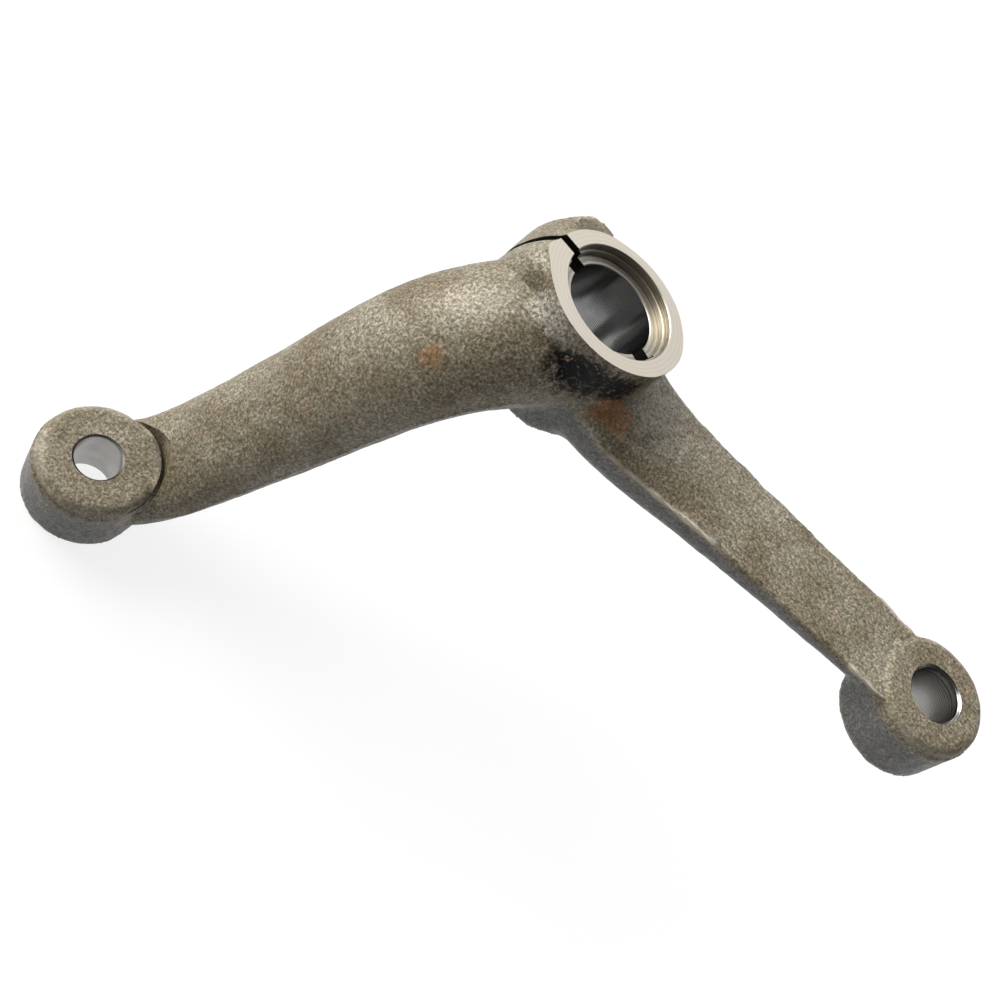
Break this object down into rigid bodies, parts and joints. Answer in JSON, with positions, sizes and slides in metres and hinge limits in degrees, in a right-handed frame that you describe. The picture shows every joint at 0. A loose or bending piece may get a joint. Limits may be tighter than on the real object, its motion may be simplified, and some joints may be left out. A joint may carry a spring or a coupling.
{
  "type": "steering arm",
  "caption": "Forged steering arm: a split clamp hub carries one nearly flat arm and one arm that drops steeply, each ending in a round boss with a tapered ball joint hole.",
  "frame": {"origin": "on the axis of the hub's bore, in the plane of the hub's lower rim", "axes": "+Z along the bore and out through the hub's machined face, +X along the nearly flat arm, +Y towards the clamp lug that the pinch bolt enters"},
  "size_m": [0.2795, 0.1334, 0.1633],
  "materials": {
    "forged_steel": "as forged and shot blasted, grey-brown, with bright machined hub face, recess and boss holes"
  },
  "bodies": {
    "root": {"steering_arm": "forged_steel"}
  },
  "joints": []
}
